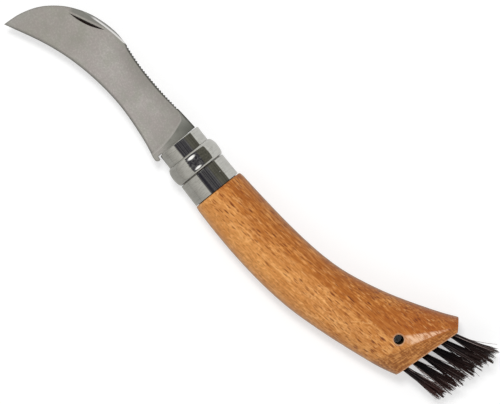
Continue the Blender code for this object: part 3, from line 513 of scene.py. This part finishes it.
class Blade(Nodes):
    """Satin steel. Each step lays its colours over those of the step before."""

    def __init__(self):
        super().__init__("satin_blade_steel")
        self.x, self.y, z = self.split(self.place)
        _, self.facing_y, facing_z = self.split(self.turned)
        self.flatness = self.size(facing_z)
        height = self.minus(z, MIDDLE_Z)
        self.off_middle = self.size(height)
        self.upper = self.ramp(height, -0.0002, 0.0002)
        self.cloud = self.noise(self.place, 110.0, detail=4.0, roughness=0.60)
        # how far a place is below the spine's curve between the hump and the collar
        middle = self.minus(self.x, CREST_X)
        crest = self.plus(self.product(middle, middle, CREST_BEND), CREST_Y)
        self.below_crest = self.minus(self.math("MINIMUM", crest, CREST_TOP_Y), self.y)
        # the plunge line, and the full thickness behind it
        share = self.math("DIVIDE", self.minus(PLUNGE_TOP_Y, self.y), PLUNGE_DROP)
        bow = self.product(share, self.minus(1.0, share))
        bent = self.plus(self.product(share, PLUNGE_LEAN), self.product(bow, 4 * PLUNGE_BOW))
        sliver = self.ramp(self.y, 0.0052, 0.0082)
        forward = self.product(sliver, sliver, PLUNGE_SLIVER)
        self.plunge = self.minus(self.plus(bent, PLUNGE_X), forward)
        self.behind = self.ramp(self.minus(self.x, self.plunge), -0.0004, 0.0004)
        # the facet on the hump slopes to the spine side, less steeply than the blade's back
        spineward = self.ramp(self.facing_y, 0.33, 0.38)
        self.facet = self.product(spineward, self.ramp(self.flatness, 0.75, 0.85))
        self.not_facet = self.below(self.facet, 0.0, 0.5)

    def ground_face(self):
        """The ground face in uneven tones, with painted shade under the spine behind the hump, at
        the heel and towards the tip, and darker olive over the front part.
        """
        clouded = self.ramp(self.cloud, 0.35, 0.68)
        face = self.mix(clouded, (0.550, 0.522, 0.486), (0.452, 0.428, 0.393))
        shortened = self.scaled(self.place, (1.0, 1.3, 1.0))
        face = self.figure(
            face,
            self.noise(shortened, 210.0, detail=3.0, roughness=0.60),
            over=Tone((0.505, 0.440, 0.425), low=0.44, high=0.62, share=0.50),
            under=Tone((0.440, 0.440, 0.370), low=0.36, high=0.50, share=0.50),
        )
        face = self.figure(
            face,
            self.noise(self.place, 1500.0, detail=3.0, roughness=0.65),
            over=Tone((0.385, 0.362, 0.335), low=0.38, high=0.62, share=0.42),
            under=Tone((0.640, 0.610, 0.570), low=0.30, high=0.46, share=0.40),
        )
        # painted shade under the spine behind the hump, at the heel and towards the tip
        under_spine = self.below(self.below_crest, 0.0005, 0.0085)
        behind_hump = self.ramp(self.x, -0.0920, -0.0740)
        face = self.tint(face, (0.260, 0.250, 0.218), under_spine, behind_hump, 0.50)
        heel = self.ramp(self.x, -0.0520, -0.0415)
        face = self.tint(face, (0.300, 0.285, 0.255), heel, 0.30)
        tip = self.below(self.x, -0.1155, -0.1080)
        face = self.tint(face, (0.270, 0.285, 0.262), tip, 0.25)
        fore = self.between(self.x, -0.1170, -0.1110, -0.0970, -0.0800)
        return self.tint(face, (0.290, 0.272, 0.222), fore, 0.30)

    def full_thickness(self):
        """The steel behind the plunge line, with painted shade nearly black in the corner by the
        spine and collar.
        """
        clouded = self.ramp(self.cloud, 0.42, 0.58)
        back = self.mix(clouded, (0.280, 0.277, 0.245), (0.215, 0.215, 0.187))
        back = self.tint(back, (0.310, 0.308, 0.280), self.ramp(self.y, 0.0015, 0.0055), 0.50)
        # painted shade in the corner by the collar and the spine
        by_collar = self.ramp(self.x, -0.0460, -0.0405)
        by_spine = self.ramp(self.y, -0.0010, 0.0060)
        return self.tint(back, (0.070, 0.075, 0.060), by_collar, by_spine, 0.60)

    def plunge_line(self, face, back):
        """Both faces, and a painted highlight along the line between them. The heel is bright again
        behind the line.
        """
        above_heel = self.ramp(self.y, -0.0090, -0.0020)
        colour = self.tint(face, back, self.behind, above_heel)
        line = self.below(self.size(self.minus(self.x, self.plunge)), 0.0001, 0.0005)
        return self.tint(colour, (0.62, 0.59, 0.55), line, 0.35)

    def painted_spine_shade(self, colour):
        """Painted shade: a dark line along the toothed spine, and along the spine behind the hump.
        """
        line = self.below(self.below_crest, 0.00060, 0.00095)
        toothed = self.between(self.x, -0.0815, -0.0785, -0.0460, -0.0430)
        colour = self.tint(colour, (0.060, 0.060, 0.050), line, toothed, 0.70)
        ledge = self.below(self.below_crest, 0.00030, 0.00060)
        behind_hump = self.ramp(self.x, -0.0830, -0.0810)
        return self.tint(colour, (0.050, 0.050, 0.042), ledge, behind_hump, 0.60)

    def edges(self, colour):
        """Painted shade on the cutting bevel; on the facet on the hump a painted highlight behind
        the point and painted shade before it, and a dark line where the facet nears the middle
        plane.
        """
        slope = self.ramp(self.product(self.facing_y, -1.0), 0.12, 0.20)
        below_middle = self.below(self.y, -0.0005, 0.0)
        colour = self.tint(colour, (0.290, 0.278, 0.255), slope, below_middle, 0.38)
        behind_point = self.ramp(self.x, -0.0985, -0.0955)
        facet_light_and_shade = self.mix(behind_point, (0.310, 0.315, 0.290), (0.900, 0.885, 0.865))
        colour = self.tint(colour, facet_light_and_shade, self.facet, 0.90)
        facet_dark_line = self.below(self.off_middle, 0.00042, 0.00058)
        return self.tint(colour, (0.180, 0.178, 0.165), self.facet, facet_dark_line, 0.85)

    def nail_nick(self, colour):
        """Dirt on the nick's walls, and a darker patch to its spine side. Also returns the dirt."""
        dx = self.minus(self.x, NICK_X)
        dy = self.minus(self.y, NICK_Y)
        across, up = math.cos(NICK_TILT), math.sin(NICK_TILT)
        along = self.size(self.plus(self.product(dx, across), self.product(dy, up)))
        spineward = self.minus(self.product(dy, across), self.product(dx, up))
        above_nick = self.ramp(spineward, 0.0002, 0.0008)
        beside_nick = self.below(along, 0.0060, 0.0090)
        dark_patch = self.product(above_nick, beside_nick, self.not_facet, self.upper)
        colour = self.tint(colour, (0.190, 0.198, 0.178), dark_patch, 0.65)
        # within about 8 mm, in square metres
        near = self.below(self.squares(dx, dy), 0.000055, 0.000070)
        walls = self.below(self.flatness, 0.968, 0.990)
        not_spineward = self.below(self.facing_y, 0.33, 0.38)
        dirt = self.product(near, walls, not_spineward, self.upper)
        return self.tint(colour, (0.020, 0.010, 0.009), dirt), dirt

    def outline(self, colour):
        """Painted shade in a thin dark line along the blank's rounded outline."""
        rounded = self.add("ShaderNodeBevel", samples=4)
        self.feed(rounded.inputs["Radius"], OUTLINE_RADIUS)
        turn = self.add("ShaderNodeVectorMath", operation="DOT_PRODUCT")
        self.feed(turn.inputs[0], rounded.outputs[0])
        self.feed(turn.inputs[1], self.add("ShaderNodeNewGeometry").outputs["Normal"])
        edge = self.below(turn.outputs["Value"], 0.85, 0.998)
        return self.tint(colour, (0.130, 0.128, 0.115), edge, self.not_facet, 0.70)

    def satin(self, colour, dirt):
        """The grind's lines run across the ground face. The steel behind it is smoother."""
        rough = self.rising(self.cloud, 0.33, 0.10)
        rough = self.minus(rough, self.product(self.behind, 0.12))
        rough = self.plus(rough, self.product(dirt, 0.30))
        self.set(Base_Color=colour, Roughness=rough, Metallic=1.0)
        across = self.scaled(self.place, (1.0, 0.05, 1.0))
        lines = self.noise(across, 4200.0, detail=2.0, roughness=0.60)
        height = self.product(lines, self.minus(1.0, self.behind))
        self.bump(height, distance=0.000012, strength=0.5)


def blade_material():
    n = Blade()
    colour = n.plunge_line(n.ground_face(), n.full_thickness())
    colour, dirt = n.nail_nick(n.edges(n.painted_spine_shade(colour)))
    n.satin(n.outline(colour), dirt)
    return n.material


def collar_material():
    """A worn mirror polish, duller where fine scratches run round the collar."""
    n = Nodes("polished_collar_steel")
    cloud = n.noise(n.place, 260.0, detail=4.0, roughness=0.60)
    brushed = n.noise(n.scaled(n.place, (1.0, 0.12, 0.12)), 2600.0, detail=3.0, roughness=0.65)
    scratch = n.noise(n.scaled(n.place, (1.0, 0.06, 0.06)), 4200.0, detail=2.0, roughness=0.60)
    colour = n.mix(n.ramp(cloud, 0.30, 0.75), (0.630, 0.625, 0.602), (0.550, 0.544, 0.520))
    colour = n.tint(colour, (0.440, 0.432, 0.408), n.ramp(brushed, 0.42, 0.66), 0.50)
    # painted shade in the creases, where little light reaches
    nearness = n.add("ShaderNodeAmbientOcclusion", samples=8)
    n.feed(nearness.inputs["Distance"], CREASE_SHADE_REACH)
    crease_shade = n.below(nearness.outputs["AO"], 0.45, 0.90)
    colour = n.tint(colour, (0.090, 0.084, 0.072), crease_shade, 0.75)
    fine = n.product(n.ramp(scratch, 0.58, 0.66), n.ramp(cloud, 0.44, 0.60))
    colour = n.tint(colour, (0.330, 0.322, 0.300), fine, 0.45)
    wear = n.product(n.ramp(scratch, 0.70, 0.74), n.ramp(cloud, 0.56, 0.66))
    n.set(Base_Color=colour, Roughness=n.product(wear, 0.10), Metallic=1.0)
    dents = n.noise(n.place, 150.0, detail=2.0, roughness=0.50)
    n.bump(n.plus(cloud, dents), distance=0.00003, strength=0.30)
    return n.material


def rivet_material():
    n = Nodes("ground_rivet_steel")
    cloud = n.noise(n.place, 900.0, detail=4.0, roughness=0.60)
    colour = n.mix(cloud, (0.50, 0.49, 0.47), (0.38, 0.37, 0.35))
    n.set(Base_Color=colour, Roughness=n.rising(cloud, 0.28, 0.20), Metallic=1.0)
    return n.material


def wire_material():
    n = Nodes("anchor_wire_metal")
    cloud = n.noise(n.place, 1500.0, detail=3.0, roughness=0.50)
    colour = n.mix(cloud, (0.52, 0.46, 0.32), (0.40, 0.34, 0.22))
    n.set(Base_Color=colour, Roughness=0.38, Metallic=1.0)
    return n.material


def hair_material():
    """Nearly black hairs, a few of them pale, partly their own tone and partly painted highlight,
    browner at the tips and redder to the belly side.
    """
    n = Nodes("dark_boar_bristle")
    x, y, _ = n.split(n.place)
    tint = n.add("ShaderNodeAttribute", attribute_name="hair_tint").outputs["Fac"]
    tip = n.ramp(x, BUTT_X + 0.005, BUTT_X + 0.018, smooth=False)
    belly_side = n.below(y, 0.010, 0.034)
    colour = n.mix(n.ramp(tint, 0.40, 0.80), (0.004, 0.003, 0.004), (0.026, 0.015, 0.015))
    # the pale hairs are partly the hairs' own tone and partly painted highlights along the strands
    colour = n.tint(colour, (0.280, 0.215, 0.200), n.ramp(tint, 0.74, 0.80))
    colour = n.tint(colour, (0.085, 0.040, 0.030), tip, 0.40)
    reddish = n.ramp(tint, 0.15, 0.75)
    colour = n.tint(colour, (0.170, 0.060, 0.050), tip, belly_side, reddish, 0.60)
    shine = n.rising(n.ramp(tint, 0.55, 0.85), 0.10, 0.70)
    n.set(Base_Color=colour, Roughness=0.33, Specular_IOR_Level=shine)
    return n.material


def smoothing_group(limit):
    """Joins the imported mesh's loose triangles again and shades it smooth up to an angle."""
    group = bpy.data.node_groups.new("join_and_smooth", "GeometryNodeTree")
    for way in ("INPUT", "OUTPUT"):
        group.interface.new_socket("Geometry", in_out=way, socket_type="NodeSocketGeometry")
    add = group.nodes.new
    drop = add("GeometryNodeRemoveAttribute")
    drop.inputs["Name"].default_value = "custom_normal"
    merge = add("GeometryNodeMergeByDistance")
    merge.inputs["Distance"].default_value = MERGE
    faces = add("GeometryNodeSetShadeSmooth")
    faces.domain = "FACE"
    all_edges = add("GeometryNodeSetShadeSmooth")
    all_edges.domain = "EDGE"
    sharp_edges = add("GeometryNodeSetShadeSmooth")
    sharp_edges.domain = "EDGE"
    sharp_edges.inputs["Shade Smooth"].default_value = False
    angle = add("GeometryNodeInputMeshEdgeAngle")
    sharp = add("FunctionNodeCompare")
    sharp.data_type = "FLOAT"
    sharp.operation = "GREATER_THAN"
    sharp.inputs["B"].default_value = limit
    link = group.links.new
    link(angle.outputs["Unsigned Angle"], sharp.inputs["A"])
    link(sharp.outputs["Result"], sharp_edges.inputs["Selection"])
    start, end = add("NodeGroupInput"), add("NodeGroupOutput")
    steps = (start, drop, merge, faces, all_edges, sharp_edges, end)
    for before, after in zip(steps, steps[1:]):
        link(before.outputs["Geometry"], after.inputs["Geometry"])
    return group


def finish_node(obj, material, group):
    for slot in obj.material_slots:
        slot.material = material
    joined = obj.modifiers.new("join_and_smooth", "NODES")
    joined.node_group = group


def hair_strand(work, tint_layer, foot, aim, bow, tint):
    """One tapered, slightly bent, three-sided strand from foot to aim."""
    run = aim - foot
    direction = run.normalized()
    side = direction.orthogonal().normalized()
    up = direction.cross(side)
    rings = []
    for i in range(STRAND_STEPS + 1):
        t = i / STRAND_STEPS
        middle = foot + run * t + bow * 4 * t * (1 - t)
        size = HAIR_RADIUS * (1.0 - STRAND_TAPER * t**3)
        ring = []
        for k in range(STRAND_SIDES):
            a = math.tau * k / STRAND_SIDES + tint * STRAND_TWIST
            vertex = work.verts.new(middle + (side * math.cos(a) + up * math.sin(a)) * size)
            vertex[tint_layer] = tint
            ring.append(vertex)
        rings.append(ring)
    for near, far in zip(rings, rings[1:]):
        for k in range(STRAND_SIDES):
            j = (k + 1) % STRAND_SIDES
            work.faces.new((near[k], near[j], far[j], far[k]))
    work.faces.new(list(reversed(rings[0])))
    work.faces.new(rings[-1])


def sunflower(count):
    """Places in a unit circle, spread evenly."""
    golden = math.pi * (3 - math.sqrt(5))
    for i in range(count):
        radius = math.sqrt((i + 0.5) / count)
        yield radius * math.cos(i * golden), radius * math.sin(i * golden)


class Clump(NamedTuple):
    """Hairs that end together.

    a and b are the middle of their roots, as shares of the tuft's radius. tip_a and tip_b are the
    middle of their tips, off the tuft's axis.
    """

    a: float
    b: float
    tip_a: float
    tip_b: float
    reach: float
    tint: float


def make_clumps(rng, column):
    """A tuft's clumps. Those of the first column, on the belly side, spread least."""
    clumps = []
    for a, b in sunflower(CLUMPS_IN_TUFT):
        uneven = rng.uniform(-CLUMP_SPREAD_RANGE, CLUMP_SPREAD_RANGE)
        spread = CLUMP_SPREAD + CLUMP_SPREAD_STEP * column + uneven
        tip_a = CLUMP_WIDER_A * a * spread + rng.gauss(0, CLUMP_DRIFT_A)
        tip_b = b * spread + rng.gauss(0, CLUMP_DRIFT_B)
        reach = HAIR_REACH - CLUMP_SHORTER * rng.random()
        clumps.append(Clump(a, b, tip_a, tip_b, reach, rng.random()))
    return clumps


def grow_hairs(work, rng, clumps, foot, lean, tilt):
    """Hairs from foot along the tuft's axis, each drawn to the clump nearest its root."""
    tint_layer = work.verts.layers.float.new("hair_tint")
    flat = math.cos(tilt)
    axis = Vector((math.cos(lean) * flat, math.sin(lean) * flat, math.sin(tilt)))
    across = Vector((-math.sin(lean), math.cos(lean), 0.0))
    up = axis.cross(across).normalized()
    for a, b in sunflower(HAIRS_IN_TUFT):
        root = foot - axis * ROOT_DEPTH + across * a * ROOT_A + up * b * ROOT_B
        near = min(clumps, key=lambda clump: (clump.a - a) ** 2 + (clump.b - b) ** 2)
        reach = near.reach + HAIR_UNEVEN * rng.gauss(0, 1)
        tip_a = near.tip_a + (a - near.a) * CLUMP_WIDTH
        tip_b = near.tip_b + (b - near.b) * CLUMP_WIDTH
        if rng.random() < STRAY_CHANCE:
            tip_a += rng.gauss(0, STRAY_A)
            tip_b += rng.gauss(0, STRAY_B)
            reach -= STRAY_SHORTER * rng.random()
        reach = min(reach, HAIR_REACH + HAIR_REACH_OVER)
        aim = foot + axis * reach + across * tip_a + up * tip_b
        bow_a = rng.gauss(0, HAIR_BOW) - HAIR_BOW_BACK * (tip_a - a * MM)
        bow = across * bow_a + up * rng.gauss(0, HAIR_BOW)
        tint = CLUMP_TINT * near.tint + (1 - CLUMP_TINT) * rng.random()
        hair_strand(work, tint_layer, root, aim, bow, tint)


def make_tuft(number, foot, lean, tilt, material):
    """A full tuft of hairs that stands for one CAD tuft."""
    rng = random.Random(TUFT_SEED + number)
    work = bmesh.new()
    clumps = make_clumps(rng, (number - 1) % TUFTS_IN_ROW)
    grow_hairs(work, rng, clumps, foot, lean, tilt)
    bmesh.ops.recalc_face_normals(work, faces=work.faces)
    mesh = bpy.data.meshes.new(f"bristles_{number:02d}")
    work.to_mesh(mesh)
    work.free()
    mesh.shade_smooth()
    mesh.materials.append(material)
    piece = bpy.data.objects.new(f"bristles_{number:02d}", mesh)
    bpy.context.scene.collection.objects.link(piece)
    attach(piece, "handle_body")
    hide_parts(f"bristle_tuft_{number:02d}")


def paper_material():
    """White paper. What the camera and metal see of it is lifted to white, except in deep shade."""
    n = Nodes("white_paper")
    n.tree.nodes.remove(n.shader)
    rays = n.add("ShaderNodeLightPath").outputs
    mirror = n.product(rays["Is Glossy Ray"], rays["Is Singular Ray"])
    # polished metal shows the paper falling off into the room on the side away from the lamps
    _, y, _ = n.split(n.place)
    dim = n.mix(n.ramp(y, -0.030, 0.012), (0.47, 0.465, 0.44), (0.78, 0.78, 0.76))
    open_sky = n.add("ShaderNodeAmbientOcclusion", samples=8)
    n.feed(open_sky.inputs["Distance"], SHADE_REACH)
    clear = n.ramp(open_sky.outputs["AO"], 0.04, 0.26)
    shaded = n.ramp(open_sky.outputs["AO"], 0.01, 0.10)
    deep = n.mix(shaded, (0.05, 0.05, 0.05), (0.56, 0.56, 0.56))
    paper = n.add("ShaderNodeBsdfDiffuse")
    n.feed(paper.inputs["Color"], n.mix(mirror, deep, dim))
    seen = n.larger(rays["Is Camera Ray"], rays["Is Transmission Ray"])
    glossy = n.product(n.minus(rays["Is Glossy Ray"], mirror), 0.20)
    glow = n.add("ShaderNodeEmission")
    n.feed(glow.inputs["Strength"], n.product(n.plus(n.product(seen, 0.50), glossy), clear))
    both = n.add("ShaderNodeAddShader")
    n.feed(both.inputs[0], paper.outputs[0])
    n.feed(both.inputs[1], glow.outputs[0])
    n.feed(n.tree.nodes["Material Output"].inputs["Surface"], both.outputs[0])
    return n.material


def make_floor():
    work = bmesh.new()
    bmesh.ops.create_grid(work, x_segments=1, y_segments=1, size=FLOOR_SIZE)
    mesh = bpy.data.meshes.new("floor")
    work.to_mesh(mesh)
    work.free()
    mesh.materials.append(paper_material())
    floor = bpy.data.objects.new("floor", mesh)
    bpy.context.scene.collection.objects.link(floor)


class Sky(Nodes):
    """The world's node tree.

    u and v are the slopes of a mirror that shows a direction of the sky to a camera overhead.
    """

    def __init__(self):
        world = bpy.data.worlds.new("studio")
        bpy.context.scene.world = world
        world.use_nodes = True
        self.tree = world.node_tree
        for node in list(self.tree.nodes):
            self.tree.nodes.remove(node)
        self.place = self.add("ShaderNodeTexCoord").outputs["Generated"]
        x, y, z = self.split(self.place)
        rise = self.larger(self.plus(z, 1.0), 0.001)
        self.u = self.math("DIVIDE", x, rise)
        self.v = self.math("DIVIDE", y, rise)
        blot = self.minus(self.noise(self.place, 5.0, detail=3.0, roughness=0.60), 0.5)
        self.wavy_v = self.plus(self.v, self.product(blot, SKY_WAVE))

    def span(self, slope, low, high):
        """1 between low and high, with soft ends."""
        ends = (low - SKY_EDGE, low + SKY_EDGE, high - SKY_EDGE, high + SKY_EDGE)
        return self.between(slope, *ends)

    def card(self, u, v):
        """1 inside a rectangle of the sky, 0 outside. Its borders along u are slightly wavy."""
        return self.product(self.span(self.u, *u), self.span(self.wavy_v, *v))

    def lamp(self, middle, reach):
        """1 in the middle of an ellipse of the sky, falling softly to 0 at its border."""
        across = self.math("DIVIDE", self.minus(self.u, middle[0]), reach[0])
        up = self.math("DIVIDE", self.minus(self.v, middle[1]), reach[1])
        return self.below(self.squares(across, up), 0.10, 1.0)

    def blotches(self, scale, low, high, colour, other):
        """Two colours in blotches."""
        noise = self.noise(self.place, scale, detail=4.0, roughness=0.70)
        return self.mix(self.ramp(noise, low, high), colour, other)


def make_world():
    """White walls. The mirror-polished collar also sees a dark camera stand and two lamps."""
    n = Sky()
    stand = n.card(u=(-0.62, 0.46), v=(-0.24, 0.76))
    camera = n.card(u=(-1.00, 1.00), v=(-0.60, 0.27))
    front_lamp = n.lamp(middle=(-0.30, 0.00), reach=(0.15, 0.20))
    rear_lamp = n.lamp(middle=(0.27, -0.02), reach=(0.11, 0.18))
    grey = n.blotches(9.0, 0.35, 0.65, (0.170, 0.165, 0.135), (0.100, 0.097, 0.080))
    soot = n.blotches(7.0, 0.42, 0.64, (0.040, 0.038, 0.050), (0.185, 0.183, 0.185))
    walls = n.mix(n.ramp(n.v, -1.05, -0.10), (0.46, 0.45, 0.42), (0.72, 0.71, 0.67))
    walls = n.tint(walls, (0.84, 0.84, 0.81), n.ramp(n.v, 0.30, 0.95))
    room = n.tint(walls, grey, stand)
    room = n.tint(room, soot, camera, stand)
    room = n.tint(room, LAMP_COLOUR, n.plus(front_lamp, rear_lamp))
    # only a mirror sees the room: other rays get an even light, and the camera plain white
    rays = n.add("ShaderNodeLightPath").outputs
    seen = n.larger(rays["Is Camera Ray"], rays["Is Transmission Ray"])
    mirror = n.product(rays["Is Glossy Ray"], rays["Is Singular Ray"])
    gloss = n.mix(mirror, (0.84, 0.84, 0.84), room)
    plain = n.mix(rays["Is Glossy Ray"], (0.50, 0.50, 0.50), gloss)
    light = n.add("ShaderNodeBackground")
    n.feed(light.inputs["Color"], n.mix(seen, plain, (1.0, 1.0, 1.0)))
    out = n.add("ShaderNodeOutputWorld")
    n.feed(out.inputs["Surface"], light.outputs[0])


def make_lamp(name, place, size, power):
    """A square lamp that points at the origin and shows neither to the camera nor in metal."""
    light = bpy.data.lights.new(name, "AREA")
    light.shape = "SQUARE"
    light.size = size
    light.energy = power
    lamp = bpy.data.objects.new(name, light)
    bpy.context.scene.collection.objects.link(lamp)
    lamp.location = place
    lamp.rotation_mode = "QUATERNION"
    lamp.rotation_quaternion = (-Vector(place)).to_track_quat("-Z", "Y")
    lamp.visible_glossy = False
    lamp.visible_camera = False


def make_camera():
    data = bpy.data.cameras.new("camera")
    data.lens = LENS
    data.sensor_width = SENSOR
    data.clip_end = VIEW_CLIP
    camera = bpy.data.objects.new("camera", data)
    bpy.context.scene.collection.objects.link(camera)
    distance = VIEW_WIDTH * LENS / SENSOR
    camera.location = (*VIEW_CENTRE, MIDDLE_Z + distance)
    camera.rotation_euler = (0, 0, -VIEW_TURN)
    bpy.context.scene.camera = camera


def finish_solids(nodes):
    """Gives the CAD nodes their materials and smooth shading. The tufts are replaced instead."""
    smooth = smoothing_group(SMOOTH_ANGLE)
    crisp = smoothing_group(BLADE_SMOOTH_ANGLE)
    collar_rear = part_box("fixed_ferrule")[1][0]
    collar = collar_material()
    finish_node(nodes["handle"], beech_material(collar_rear), smooth)
    finish_node(nodes["blade"], blade_material(), crisp)
    finish_node(nodes["fixed_ferrule"], collar, smooth)
    finish_node(nodes["locking_ring"], collar, smooth)
    finish_node(nodes["pivot_rivet"], rivet_material(), smooth)
    wire = wire_material()
    for number in range(1, len(TUFT_ROWS) * TUFTS_IN_ROW + 1):
        finish_node(nodes[f"tuft_anchor_{number:02d}"], wire, smooth)


def main():
    for old in list(bpy.data.objects):
        bpy.data.objects.remove(old, do_unlink=True)
    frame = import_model()
    bpy.context.scene.view_settings.view_transform = "Standard"
    make_camera()
    make_world()
    make_floor()
    make_lamp("key", place=(-0.36, 0.17, 1.45), size=0.30, power=11.0)
    make_lamp("fill", place=(0.60, -0.70, 1.20), size=1.0, power=2.0)
    finish_solids(frame["nodes"])
    hair = hair_material()
    for number, (foot, lean, tilt) in enumerate(tuft_places(), 1):
        make_tuft(number, foot, lean, tilt, hair)


main()
